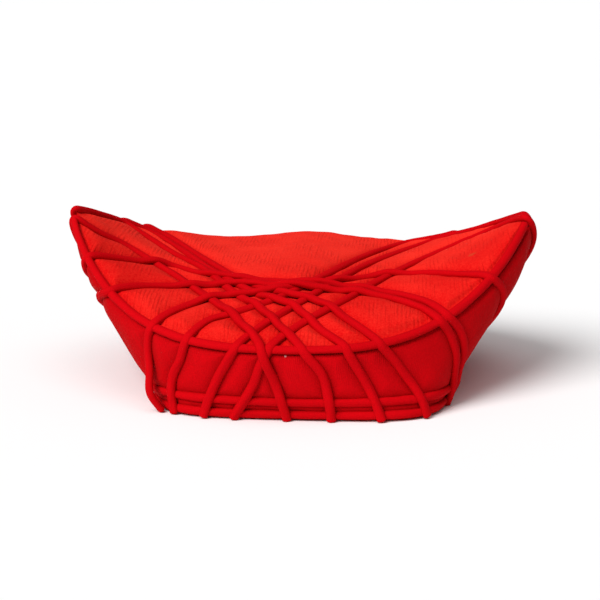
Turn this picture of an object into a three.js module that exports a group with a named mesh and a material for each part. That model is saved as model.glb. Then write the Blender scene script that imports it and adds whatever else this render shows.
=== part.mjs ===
import * as THREE from 'three';
import { mergeVertices } from 'three/addons/utils/BufferGeometryUtils.js';

// A stiff, boat-shaped ceremonial turban wound with cloth cords.
// Millimetres, +Z up. The front faces -Y, the two upturned tips point along X,
// and the open head rim rests on the plane z = 0.

// Cloth body
const tipReach = 138;
const frontReach = 114;
const backReach = 115;
const tipHeight = 99;
const frontHeight = 42.5;
const backHeight = 61.5;
const backPeak = 5;
const backPeakHalfWidth = 34;
const crownRise = 9;
const rimHalfWidth = 82;
const rimHalfDepth = 104;
const rimShift = 7;
const wallThickness = 3;
const deckThickness = 2.5;
const tipFilling = 14;
const deckSeatGap = 0.6;

// Cords
const strandDiameter = 4.4;
const edgeCordDiameter = 4;
const ringCordDiameter = 4;
const upperRingHeight = 11.5;
const lowerRingHeight = 3.8;
const layGap = 0.5;
const ringEndGap = 0.5;
const footHeight = 0.6;
const pipingSeat = edgeCordDiameter / 2 + layGap;
const pipingMargin = 1.1 * pipingSeat;

// Form of the curves, as pure exponents and shares
const planRoundness = 2;
const planFullness = 0.66;
const frontSheer = 3.6;
const backSheer = 3;
const rimSquareness = 4.4;
const wallSwell = 2;
const crownLean = 1.3;
const edgeCordEnd = 0.985;
const fillingTaper = 4;

// How finely the surfaces and cords are divided
const halfColumns = 16;
const deckRows = 7;
const wallRows = 5;
const cordSides = 8;
const walkStep = 1;
const longestStation = 19;
const ringStation = 12.5;
const stationSag = 0.55;
const bendSpread = 5;
const humpRadius = 20;
const easeReach = 4;
const lineSamples = 400;
const sewingReach = 1e-3;
const slopeReach = 1e-3;
const nearEdge = 0.98;

const crownCloth = new THREE.Color(0xd91a1c);
const wallCloth = new THREE.Color(0xb80d16);
const cordCloth = new THREE.Color(0xe00a17);

// Cloth edge: seen from above it is a pointed oval, seen from the front it sags between the tips
function edgeDepthShare(across) {
  return Math.max(1 - Math.abs(across) ** planRoundness, 0) ** planFullness;
}

function edgeHeight(across, side) {
  const share = Math.abs(across);
  if (side < 0) {
    return frontHeight + (tipHeight - frontHeight) * share ** frontSheer;
  }
  const peak = backPeak * Math.exp(-((across * tipReach / backPeakHalfWidth) ** 2));
  return backHeight + peak + (tipHeight - backHeight) * share ** backSheer;
}

function edgePoint(across, side) {
  const reach = side < 0 ? -frontReach : backReach;
  return new THREE.Vector3(tipReach * across, reach * edgeDepthShare(across), edgeHeight(across, side));
}

// Deck: a height over the plan, from the back edge forward to the front edge, with a crown that leans to the front
function deckHeight(x, y) {
  const across = THREE.MathUtils.clamp(x / tipReach, -1, 1);
  const fullness = edgeDepthShare(across);
  const depth = (backReach + frontReach) * fullness;
  const forward = depth > 0 ? THREE.MathUtils.clamp((backReach * fullness - y) / depth, 0, 1) : 0;
  const lean = forward ** crownLean;
  const crown = crownRise * fullness * 4 * lean * (1 - lean);
  return THREE.MathUtils.lerp(edgeHeight(across, 1), edgeHeight(across, -1), forward) + crown;
}

function deckPoint(across, along) {
  const x = tipReach * across;
  const y = along * (along < 0 ? frontReach : backReach);
  return new THREE.Vector3(x, y, deckHeight(x, y));
}

// A place round the wall: -1 to 1 runs along the front from tip to tip, and 1 to 2 and -2 to -1 along the back
function splitRound(round) {
  const onFront = Math.abs(round) <= 1;
  const across = onFront ? round : Math.sign(round) * (2 - Math.abs(round));
  return { across, side: onFront ? -1 : 1 };
}

function rimPoint(round, inset) {
  const { across, side } = splitRound(round);
  const turn = Math.sin(Math.PI * across / 2);
  const depthShare = Math.max(1 - Math.abs(turn) ** rimSquareness, 0) ** (1 / rimSquareness);
  const x = rimShift + (rimHalfWidth - inset) * turn;
  return new THREE.Vector3(x, side * (rimHalfDepth - inset) * depthShare, 0);
}

// Wall: leaves the rim steeply, swells outwards high up and meets the edge
function rise(from, to, up) {
  const outward = up + wallSwell * up ** 3 * (1 - up);
  return new THREE.Vector3(
    THREE.MathUtils.lerp(from.x, to.x, outward),
    THREE.MathUtils.lerp(from.y, to.y, outward),
    to.z * up,
  );
}

function wallPoint(round, up) {
  const { across, side } = splitRound(round);
  return rise(rimPoint(round, 0), edgePoint(across, side), up);
}

// The wall ends under the deck, and along the front low enough to leave the piping its seat
function wallTopDrop(round) {
  const { across, side } = splitRound(round);
  const underDeck = deckThickness + deckSeatGap;
  if (side > 0) {
    return underDeck;
  }
  const sheer = (tipHeight - frontHeight) * frontSheer * Math.abs(across) ** (frontSheer - 1) / tipReach;
  return Math.max(underDeck, pipingSeat * Math.hypot(1, sheer));
}

function wallTopShare(round) {
  const { across, side } = splitRound(round);
  return 1 - wallTopDrop(round) / edgeHeight(across, side);
}

function innerWallPoint(round, up) {
  const { across, side } = splitRound(round);
  const reach = side < 0 ? -(frontReach - wallThickness) : backReach - wallThickness;
  const x = (tipReach - tipFilling * Math.abs(across) ** fillingTaper) * across;
  const y = reach * edgeDepthShare(across);
  const top = new THREE.Vector3(x, y, deckHeight(x, y) - wallTopDrop(round));
  return rise(rimPoint(round, wallThickness), top, up);
}

// Columns stand closer together towards the tips
function acrossColumn(share) {
  return Math.sin(Math.PI * (share - 0.5));
}

function roundColumn(share) {
  const turn = 4 * share - 2;
  if (Math.abs(turn) <= 1) {
    return Math.sin(Math.PI * turn / 2);
  }
  return Math.sign(turn) * (2 - Math.sin(Math.PI * (2 - Math.abs(turn)) / 2));
}

// A closed skin sewn together from patches. Each patch faces the way that its first direction crossed
// with its second one points, or the other way where it is turned.
class Skin {
  constructor() {
    this.places = [];
    this.corners = [];
  }

  patch(columns, rows, place, turned = false) {
    const first = this.places.length / 3;
    for (let i = 0; i <= columns; i += 1) {
      for (let j = 0; j <= rows; j += 1) {
        this.places.push(...place(i / columns, j / rows).toArray());
      }
    }
    for (let i = 0; i < columns; i += 1) {
      for (let j = 0; j < rows; j += 1) {
        const a = first + i * (rows + 1) + j;
        const b = a + rows + 1;
        const pair = [[a, b, b + 1], [a, b + 1, a + 1]];
        pair.forEach((corner) => this.corners.push(...(turned ? corner.reverse() : corner)));
      }
    }
  }

  geometry() {
    const loose = new THREE.BufferGeometry();
    loose.setAttribute('position', new THREE.Float32BufferAttribute(this.places, 3));
    loose.setIndex(this.corners);
    const sewn = mergeVertices(loose, sewingReach);
    const corners = sewn.index.array;
    const kept = [];
    for (let i = 0; i < corners.length; i += 3) {
      const [a, b, c] = corners.slice(i, i + 3);
      if (a !== b && b !== c && c !== a) {
        kept.push(a, b, c);
      }
    }
    sewn.setIndex(kept);
    sewn.computeVertexNormals();
    return sewn;
  }
}

function clothMaterial(color, roughness) {
  return new THREE.MeshStandardMaterial({ color, roughness, metalness: 0 });
}

function namedMesh(name, geometry, material) {
  const mesh = new THREE.Mesh(geometry, material);
  mesh.name = name;
  return mesh;
}

function makeSideWall() {
  const skin = new Skin();
  const columns = 4 * halfColumns;
  const outer = (round, up) => wallPoint(round, up * wallTopShare(round));
  skin.patch(columns, wallRows, (i, j) => outer(roundColumn(i), j));
  skin.patch(columns, wallRows, (i, j) => innerWallPoint(roundColumn(i), j), true);
  const bridge = (i, j, up) => {
    const round = roundColumn(i);
    return outer(round, up).lerp(innerWallPoint(round, up), j);
  };
  skin.patch(columns, 1, (i, j) => bridge(i, j, 1));
  skin.patch(columns, 1, (i, j) => bridge(i, j, 0), true);
  return namedMesh('side_wall', skin.geometry(), clothMaterial(wallCloth, 0.9));
}

function makeCrownDeck() {
  const skin = new Skin();
  const columns = 2 * halfColumns;
  const place = (i, forward, depth) => {
    const across = acrossColumn(i);
    const x = THREE.MathUtils.lerp(tipReach, tipReach - pipingMargin, forward) * across;
    const y = THREE.MathUtils.lerp(backReach, pipingMargin - frontReach, forward) * edgeDepthShare(across);
    return new THREE.Vector3(x, y, deckHeight(x, y) - deckThickness * depth);
  };
  skin.patch(columns, deckRows, (i, j) => place(i, j, 0), true);
  skin.patch(columns, deckRows, (i, j) => place(i, j, 1));
  skin.patch(columns, 1, (i, j) => place(i, 1, 1 - j));
  skin.patch(columns, 1, (i, j) => place(i, 0, j));
  skin.patch(deckRows, 1, (i, j) => place(0, i, j), true);
  skin.patch(deckRows, 1, (i, j) => place(1, i, j));
  return namedMesh('crown_deck', skin.geometry(), clothMaterial(crownCloth, 0.9));
}

// Walks on the surface. Each step of a walk holds its place and the way out of the cloth there.
function outward(surface, a, b) {
  const alongA = surface(a + slopeReach, b).sub(surface(a - slopeReach, b));
  const alongB = surface(a, b + slopeReach).sub(surface(a, b - slopeReach));
  return alongA.cross(alongB).normalize();
}

function wallStep(round, up) {
  const level = THREE.MathUtils.clamp(up, 2 * slopeReach, 1 - 2 * slopeReach);
  const before = outward(wallPoint, round - 2 * slopeReach, level);
  const after = outward(wallPoint, round + 2 * slopeReach, level);
  return { place: wallPoint(round, up), out: before.add(after).normalize() };
}

function deckStep(across, along) {
  const x = tipReach * across;
  const y = along * (along < 0 ? frontReach : backReach);
  const fullness = edgeDepthShare(across);
  const inY = THREE.MathUtils.clamp(y, -frontReach * fullness * nearEdge, backReach * fullness * nearEdge);
  const height = (a, b) => new THREE.Vector3(a, b, deckHeight(a, b));
  return { place: deckPoint(across, along), out: outward(height, x * nearEdge, inY) };
}

// A smooth line through a few chosen points of a surface, walked in small steps
function walk(points, step) {
  const line = new THREE.SplineCurve(points.map(([a, b]) => new THREE.Vector2(a, b)));
  return line.getPoints(lineSamples).map((point) => step(point.x, point.y));
}

function evenWalk(steps) {
  const reached = [0];
  for (let i = 1; i < steps.length; i += 1) {
    reached.push(reached[i - 1] + steps[i].place.distanceTo(steps[i - 1].place));
  }
  const length = reached[reached.length - 1];
  const count = Math.max(2, Math.round(length / walkStep));
  const even = [];
  let from = 0;
  for (let i = 0; i <= count; i += 1) {
    const target = length * i / count;
    while (from < steps.length - 2 && reached[from + 1] < target) {
      from += 1;
    }
    const span = reached[from + 1] - reached[from];
    const share = span > 0 ? THREE.MathUtils.clamp((target - reached[from]) / span, 0, 1) : 0;
    even.push({
      at: target,
      place: steps[from].place.clone().lerp(steps[from + 1].place, share),
      out: steps[from].out.clone().lerp(steps[from + 1].out, share).normalize(),
    });
  }
  return even;
}

// Ways out of the cloth, averaged over a short stretch, so that a cord turns over the edge in an arc
function easedOuts(steps) {
  return steps.map((here) => {
    const sum = new THREE.Vector3();
    steps.forEach((other) => {
      const away = Math.abs(other.at - here.at);
      if (away < bendSpread) {
        sum.addScaledVector(other.out, 1 - away / bendSpread);
      }
    });
    return sum.normalize();
  });
}

// Lays a cord of a given radius along a walk: on the cloth, and over every cord that lies there already.
// The height over a crossed cord falls off on both sides as a cord under tension does.
const laidCords = [];

function heightClearOf(places, clear, from, way) {
  let height = 0;
  places.forEach((place) => {
    const to = place.clone().sub(from);
    const up = to.dot(way);
    const beside = to.lengthSq() - up * up;
    if (beside < clear * clear && up > -clear) {
      height = Math.max(height, up + Math.sqrt(clear * clear - beside));
    }
  });
  return height;
}

function layCord(steps, radius) {
  const even = evenWalk(steps);
  const feet = even.map((step) => step.place);
  const ways = easedOuts(even);
  const needed = feet.map((foot, i) => Math.max(
    heightClearOf(feet, radius + layGap, foot, ways[i]),
    ...laidCords.map((cord) => heightClearOf(cord.places, radius + cord.radius + layGap, foot, ways[i])),
  ));
  const draped = even.map((here, i) => needed.reduce(
    (height, need, j) => Math.max(height, need - (here.at - even[j].at) ** 2 / (2 * humpRadius)),
    needed[i],
  ));
  const eased = draped.map((height, i) => {
    const near = draped.slice(Math.max(0, i - easeReach), i + easeReach + 1);
    return Math.max(needed[i], near.reduce((sum, value) => sum + value, 0) / near.length);
  });
  const line = even.map((step, i) => step.place.clone().addScaledVector(ways[i], eased[i]));
  cutFoot(line, radius);
  cutFoot(line.reverse(), radius);
  return line;
}

// Makes the cord along its line and leaves it there for the later cords to cross
function makeCord(name, line, diameter, stations = thinLine(line)) {
  laidCords.push({ radius: diameter / 2, places: fillLine(stations) });
  return cordMesh(name, stations, diameter);
}

// A strand ends just above the rim's plane, with its whole end clear of it
function cutFoot(line, radius) {
  const lowest = () => {
    const run = line[line.length - 1].clone().sub(line[line.length - 2]).normalize();
    return line[line.length - 1].z - radius * Math.hypot(run.x, run.y);
  };
  while (lowest() < footHeight) {
    line.pop();
  }
}

// Keeps the stations that the bends need, and shares out the long stretches between them evenly
function thinLine(line) {
  const keep = [0, line.length - 1];
  const chord = new THREE.Line3();
  const nearest = new THREE.Vector3();
  const split = (from, to) => {
    chord.set(line[from], line[to]);
    const offs = line.slice(from, to + 1)
      .map((place) => chord.closestPointToPoint(place, true, nearest).distanceTo(place));
    const worst = Math.max(...offs);
    if (worst > stationSag) {
      const middle = from + offs.indexOf(worst);
      keep.push(middle);
      split(from, middle);
      split(middle, to);
    }
  };
  split(0, line.length - 1);
  keep.sort((a, b) => a - b);
  const stations = [line[0]];
  for (let i = 1; i < keep.length; i += 1) {
    const from = keep[i - 1];
    const run = keep[i] - from;
    const parts = Math.ceil(line[from].distanceTo(line[keep[i]]) / longestStation);
    for (let j = 1; j <= parts; j += 1) {
      stations.push(line[from + Math.round(run * j / parts)]);
    }
  }
  return stations;
}

function fillLine(stations) {
  const places = [stations[0]];
  for (let i = 1; i < stations.length; i += 1) {
    const count = Math.max(1, Math.ceil(stations[i].distanceTo(stations[i - 1]) / walkStep));
    for (let j = 1; j <= count; j += 1) {
      places.push(stations[i - 1].clone().lerp(stations[i], j / count));
    }
  }
  return places;
}

// A path whose steps fall exactly on the stations, with each section square to the bend there
class StationCurve extends THREE.Curve {
  constructor(stations) {
    super();
    this.stations = stations;
  }

  getPoint(share, target = new THREE.Vector3()) {
    const run = share * (this.stations.length - 1);
    const from = Math.min(Math.floor(run), this.stations.length - 2);
    return target.lerpVectors(this.stations[from], this.stations[from + 1], run - from);
  }

  getPointAt(share, target) {
    return this.getPoint(share, target);
  }

  getTangentAt(share, target = new THREE.Vector3()) {
    const last = this.stations.length - 1;
    const at = Math.round(share * last);
    const before = this.stations[Math.max(at - 1, 0)];
    const after = this.stations[Math.min(at + 1, last)];
    const here = this.stations[at];
    const inward = here.clone().sub(before).normalize();
    return target.copy(after).sub(here).normalize().add(inward).normalize();
  }
}

function cordMesh(name, stations, diameter) {
  const section = new THREE.Shape();
  for (let i = 0; i < cordSides; i += 1) {
    const turn = 2 * Math.PI * i / cordSides;
    const x = diameter / 2 * Math.cos(turn);
    const y = diameter / 2 * Math.sin(turn);
    if (i === 0) {
      section.moveTo(x, y);
    } else {
      section.lineTo(x, y);
    }
  }
  section.closePath();
  const geometry = new THREE.ExtrudeGeometry(section, {
    steps: stations.length - 1,
    bevelEnabled: false,
    extrudePath: new StationCurve(stations),
  });
  return namedMesh(name, geometry, clothMaterial(cordCloth, 0.85));
}

// A ring cord runs round the wall at one height, and its ends meet at the middle of the back
function makeRingCord(name, height) {
  const steps = [];
  for (let i = 0; i <= lineSamples; i += 1) {
    const round = roundColumn(i / lineSamples);
    const { across, side } = splitRound(round);
    steps.push(wallStep(round, height / edgeHeight(across, side)));
  }
  const half = ringEndGap / 2;
  steps[0].place.x -= half;
  steps[lineSamples].place.x += half;
  const line = layCord(steps, ringCordDiameter / 2);
  const count = Math.ceil(line.length * walkStep / ringStation);
  const stations = Array.from({ length: count + 1 }, (_, i) => line[Math.round((line.length - 1) * i / count)]);
  return makeCord(name, line, ringCordDiameter, stations);
}

// The piping fills the corner between the deck and the wall, from one tip to the other
function makeFrontEdgeCord() {
  const line = [];
  for (let i = 0; i <= lineSamples; i += 1) {
    line.push(edgePoint(acrossColumn(i / lineSamples) * edgeCordEnd, -1));
  }
  return makeCord('front_edge_cord', line, edgeCordDiameter);
}

// Routes of the wound strands, each in the order in which it was laid. Wall points are [place round the
// wall, share of the height], from the foot up to the edge and from the edge down to the foot. Deck points
// are [share of the tip reach, share of the front or back reach].
const strands = [
  {
    name: 'right_strand_1',
    up: [[1.03, 0], [1.02, 0.40], [1.005, 0.75], [0.995, 1]],
    deck: [
      [0.955, 0.075], [0.88, 0.20], [0.80, 0.265], [0.70, 0.285], [0.54, 0.15], [0.375, -0.16],
      [0.235, -0.49], [0.115, -0.72],
    ],
    down: [[-0.05, 1], [-0.09, 0.77], [-0.145, 0.48], [-0.28, 0]],
  },
  {
    name: 'right_strand_2',
    up: [[1.08, 0], [1.05, 0.40], [1.02, 0.75], [1.005, 1]],
    deck: [
      [0.97, 0.12], [0.92, 0.26], [0.86, 0.38], [0.77, 0.51], [0.68, 0.60], [0.57, 0.60],
      [0.44, 0.45], [0.30, 0.15], [0.14, -0.33], [0.005, -0.65],
    ],
    down: [[-0.18, 1], [-0.235, 0.75], [-0.31, 0.46], [-0.43, 0]],
  },
  {
    name: 'right_strand_3',
    up: [[1.30, 0], [1.26, 0.45], [1.25, 0.80], [1.29, 1]],
    deck: [
      [0.65, 0.665], [0.58, 0.72], [0.48, 0.735], [0.38, 0.61], [0.27, 0.34], [0.12, -0.14],
      [-0.035, -0.49], [-0.195, -0.67], [-0.315, -0.76],
    ],
    down: [[-0.385, 1], [-0.43, 0.72], [-0.53, 0.40], [-0.61, 0]],
  },
  {
    name: 'left_strand_1',
    up: [[-1.02, 0], [-1.01, 0.40], [-0.995, 0.75], [-0.985, 1]],
    deck: [
      [-0.95, -0.10], [-0.88, -0.07], [-0.79, -0.02], [-0.68, -0.06], [-0.53, -0.21], [-0.35, -0.49],
      [-0.225, -0.71],
    ],
    down: [[-0.08, 1], [-0.058, 0.80], [-0.044, 0.50], [-0.034, 0]],
  },
  {
    name: 'left_strand_2',
    up: [[-1.06, 0], [-1.03, 0.40], [-1.01, 0.75], [-1, 1]],
    deck: [
      [-0.97, 0.12], [-0.93, 0.23], [-0.88, 0.33], [-0.82, 0.375], [-0.70, 0.30], [-0.56, 0.15],
      [-0.42, -0.02], [-0.255, -0.40], [-0.11, -0.66], [-0.005, -0.87],
    ],
    down: [[0.08, 1], [0.15, 0.70], [0.16, 0.35], [0.157, 0]],
  },
  {
    name: 'left_strand_3',
    up: [[-1.20, 0], [-1.15, 0.45], [-1.13, 0.80], [-1.145, 1]],
    deck: [
      [-0.82, 0.44], [-0.75, 0.475], [-0.67, 0.44], [-0.60, 0.36], [-0.51, 0.21], [-0.34, -0.12],
      [-0.125, -0.48], [0.02, -0.63], [0.125, -0.82],
    ],
    down: [[0.25, 1], [0.29, 0.75], [0.33, 0.48], [0.395, 0]],
  },
  {
    name: 'left_strand_4',
    up: [[-1.30, 0], [-1.24, 0.45], [-1.21, 0.80], [-1.235, 1]],
    deck: [
      [-0.73, 0.555], [-0.66, 0.53], [-0.58, 0.43], [-0.42, 0.145], [-0.24, -0.20], [-0.06, -0.44],
      [0.12, -0.56], [0.265, -0.755],
    ],
    down: [[0.38, 1], [0.44, 0.75], [0.50, 0.50], [0.66, 0]],
  },
  {
    name: 'right_cross_strand',
    up: [[1.10, 0], [0.98, 0.35], [0.90, 0.68], [0.83, 1]],
    deck: [
      [0.72, -0.33], [0.56, -0.14], [0.36, -0.10], [0.20, -0.21], [0.05, -0.35], [-0.13, -0.46],
      [-0.31, -0.50], [-0.455, -0.65],
    ],
    down: [[-0.54, 1], [-0.57, 0.80], [-0.62, 0.50], [-0.68, 0]],
  },
  {
    name: 'left_cross_strand',
    up: [[-1.20, 0], [-1.08, 0.40], [-0.94, 0.76], [-0.878, 1]],
    deck: [
      [-0.715, -0.19], [-0.565, -0.07], [-0.375, -0.15], [-0.18, -0.23], [0.04, -0.29], [0.24, -0.32],
      [0.42, -0.40], [0.55, -0.53],
    ],
    down: [[0.65, 1], [0.72, 0.7], [0.81, 0.4], [0.94, 0]],
  },
  {
    name: 'front_cross_strand',
    up: [[-1.12, 0], [-1.02, 0.30], [-0.92, 0.60], [-0.75, 1]],
    deck: [
      [-0.615, -0.45], [-0.445, -0.36], [-0.225, -0.31], [-0.025, -0.38], [0.20, -0.39], [0.38, -0.44],
      [0.53, -0.59],
    ],
    down: [[0.62, 1], [0.68, 0.70], [0.75, 0.46], [0.88, 0]],
  },
];

function makeStrand({ name, up, deck, down }) {
  const lift = ([round, share]) => {
    const { across, side } = splitRound(round);
    const foot = footHeight / edgeHeight(across, side);
    return [round, THREE.MathUtils.lerp(foot, 1, share)];
  };
  const atEdge = ([round]) => {
    const { across, side } = splitRound(round);
    return [across, side * edgeDepthShare(across)];
  };
  const overDeck = [atEdge(up[up.length - 1]), ...deck, atEdge(down[0])];
  const steps = [
    ...walk(up.map(lift), wallStep),
    ...walk(overDeck, deckStep),
    ...walk(down.map(lift), wallStep),
  ];
  return makeCord(name, layCord(steps, strandDiameter / 2), strandDiameter);
}

// The origin is at the middle of the whole length and depth, with the piping and two crossed strands in front
const frontOverhang = edgeCordDiameter / 2 + 2 * strandDiameter + layGap;
const depthMiddle = (backReach - frontReach - frontOverhang) / 2;

const turban = new THREE.Group();
turban.add(makeSideWall(), makeCrownDeck());
turban.add(makeRingCord('lower_ring_cord', lowerRingHeight), makeRingCord('upper_ring_cord', upperRingHeight));
turban.add(makeFrontEdgeCord());
strands.forEach((strand) => turban.add(makeStrand(strand)));
turban.position.y = -depthMiddle;

export default turban;
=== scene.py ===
import math

import bmesh
import bpy
import numpy as np
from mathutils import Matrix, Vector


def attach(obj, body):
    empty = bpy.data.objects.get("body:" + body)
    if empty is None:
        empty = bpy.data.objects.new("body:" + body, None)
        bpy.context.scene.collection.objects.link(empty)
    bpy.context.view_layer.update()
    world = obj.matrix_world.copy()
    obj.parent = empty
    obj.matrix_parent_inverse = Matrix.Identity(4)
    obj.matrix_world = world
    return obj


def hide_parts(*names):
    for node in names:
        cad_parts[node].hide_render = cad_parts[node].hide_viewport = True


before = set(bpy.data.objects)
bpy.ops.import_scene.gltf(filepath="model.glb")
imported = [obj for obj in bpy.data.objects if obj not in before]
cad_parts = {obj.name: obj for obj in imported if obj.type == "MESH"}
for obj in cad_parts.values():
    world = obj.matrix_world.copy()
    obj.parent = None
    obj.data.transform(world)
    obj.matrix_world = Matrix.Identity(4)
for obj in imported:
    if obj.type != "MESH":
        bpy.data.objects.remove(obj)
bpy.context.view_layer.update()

# Body form
# The body is stiffened lining: a wall that flares up from the head rim, and a saddle-shaped deck whose
# edge runs out to a raised tip at each side. Both cloths are stretched over it, and the cords wound on it.
TIP_REACH = 0.138
FRONT_REACH = 0.114
BACK_REACH = 0.115
TIP_HEIGHT = 0.099
FRONT_HEIGHT = 0.0425
BACK_HEIGHT = 0.0615
BACK_PEAK = 0.005
BACK_PEAK_HALF_WIDTH = 0.034
CROWN_RISE = 0.009
RIM_HALF_WIDTH = 0.082
RIM_HALF_DEPTH = 0.104
PLAN_ROUNDNESS = 2
PLAN_FULLNESS = 0.66
FRONT_SHEER = 3.6
BACK_SHEER = 3
RIM_SQUARENESS = 5.5
RIM_SHIFT = 0.007
WALL_SWELL = 1.6
SWELL_LEAN = 0.45
SHOULDER_RISE = 0.0038
SHOULDER_FALL = 11
CROWN_LEAN = 1.3
SLOPE_REACH = 1e-3
HEIGHT_REACH = 1e-6
NEAR_EDGE = 0.98
STRAND_DIAMETER = 0.0044
PIPING_DIAMETER = 0.0040
RING_DIAMETER = 0.0040
CAD_LAY_GAP = 0.0005
FRONT_OVERHANG = PIPING_DIAMETER / 2 + 2 * STRAND_DIAMETER + CAD_LAY_GAP
MIDDLE_SHIFT = np.array([0, (FRONT_REACH + FRONT_OVERHANG - BACK_REACH) / 2, 0])


def between(start, end, share):
    """A straight blend from start to end."""
    return start + (end - start) * share


def unit(ways):
    """The same directions, each of length one."""
    return ways / np.maximum(np.linalg.norm(ways, axis=-1, keepdims=True), 1e-12)


def edge_depth_share(across):
    """Half depth of the plan: one less the squared share of the tip reach, to a power."""
    return np.maximum(1 - np.abs(across) ** PLAN_ROUNDNESS, 0) ** PLAN_FULLNESS


def edge_height(across, front):
    """Height of the cloth edge: a power of the share of the tip reach, plus a low bell at the back."""
    share = np.abs(across)
    at_front = FRONT_HEIGHT + (TIP_HEIGHT - FRONT_HEIGHT) * share**FRONT_SHEER
    bell = BACK_PEAK * np.exp(-((across * TIP_REACH / BACK_PEAK_HALF_WIDTH) ** 2))
    at_back = BACK_HEIGHT + bell + (TIP_HEIGHT - BACK_HEIGHT) * share**BACK_SHEER
    return np.where(front, at_front, at_back)


def edge_place(across, front):
    """Places on the cloth edge, at shares of the tip reach."""
    reach = np.where(front, -FRONT_REACH, BACK_REACH)
    depth = reach * edge_depth_share(across)
    return np.stack([TIP_REACH * across, depth, edge_height(across, front)], -1)


def deck_height(x, y):
    """Height of the deck: a straight blend from the back edge to the front edge, plus a crown that is a
    parabola of the way forward, leaned to the front by a power, plus a shoulder that grows with the square
    of the way forward and turns down by a high power just behind the front edge."""
    across = np.clip(x / TIP_REACH, -1, 1)
    fullness = edge_depth_share(across)
    depth = np.maximum((BACK_REACH + FRONT_REACH) * fullness, 1e-9)
    forward = np.clip((BACK_REACH * fullness - y) / depth, 0, 1)
    lean = forward**CROWN_LEAN
    crown = CROWN_RISE * fullness * 4 * lean * (1 - lean)
    shoulder = SHOULDER_RISE * fullness * forward**2 * (1 - forward**SHOULDER_FALL)
    return between(edge_height(across, False), edge_height(across, True), forward) + crown + shoulder


def deck_place(x, y):
    """Places on the deck over the plan."""
    return np.stack([x, y, deck_height(x, y)], -1)


def deck_out(x, y):
    """Ways out of the deck, from its slopes a little inside its edge."""
    fullness = edge_depth_share(x / TIP_REACH)
    x = x * NEAR_EDGE
    y = np.clip(y, -FRONT_REACH * fullness * NEAR_EDGE, BACK_REACH * fullness * NEAR_EDGE)
    slope_x = (deck_height(x + HEIGHT_REACH, y) - deck_height(x - HEIGHT_REACH, y)) / (2 * HEIGHT_REACH)
    slope_y = (deck_height(x, y + HEIGHT_REACH) - deck_height(x, y - HEIGHT_REACH)) / (2 * HEIGHT_REACH)
    return unit(np.stack([-slope_x, -slope_y, np.ones_like(slope_x)], -1))


def split_round(round_wall):
    """A place round the wall as (share of the tip reach, whether it is on the front). From -1 to 1 it runs
    along the front from tip to tip, and from 1 to 2 and -2 to -1 along the back."""
    front = np.abs(round_wall) <= 1
    across = np.where(front, round_wall, np.sign(round_wall) * (2 - np.abs(round_wall)))
    return across, front


def rim_place(round_wall, inset):
    """Places on the head rim, a squared-off oval."""
    across, front = split_round(round_wall)
    turn = np.sin(np.pi * across / 2)
    depth = np.maximum(1 - np.abs(turn) ** RIM_SQUARENESS, 0) ** (1 / RIM_SQUARENESS)
    side = np.where(front, -1, 1)
    x = RIM_SHIFT + (RIM_HALF_WIDTH - inset) * turn
    return np.stack([x, side * (RIM_HALF_DEPTH - inset) * depth, 0 * turn], -1)


def wall_rise(low, high, up):
    """The wall between its rim and its top: a straight blend in height and one in plan that swells outwards
    high up, more on the right than on the left."""
    swell = WALL_SWELL * (1 + SWELL_LEAN * high[..., 0] / TIP_REACH)
    outward = (up + swell * up**3 * (1 - up))[..., None]
    plan = between(low, high, outward)
    return np.concatenate([plan[..., :2], (high[..., 2] * up)[..., None]], -1)


def wall_place(round_wall, up):
    """Places on the outside of the wall, at shares of its height."""
    across, front = split_round(round_wall)
    return wall_rise(rim_place(round_wall, 0), edge_place(across, front), up)


def wall_out(round_wall, up):
    """Ways out of the wall, averaged over a hair's breadth so that they stay defined at the tips."""
    level = np.clip(up, 2 * SLOPE_REACH, 1 - 2 * SLOPE_REACH)
    total = 0
    for beside in (-2 * SLOPE_REACH, 2 * SLOPE_REACH):
        at = round_wall + beside
        along = wall_place(at + SLOPE_REACH, level) - wall_place(at - SLOPE_REACH, level)
        rising = wall_place(at, level + SLOPE_REACH) - wall_place(at, level - SLOPE_REACH)
        total = total + unit(np.cross(along, rising))
    return unit(total)


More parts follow.
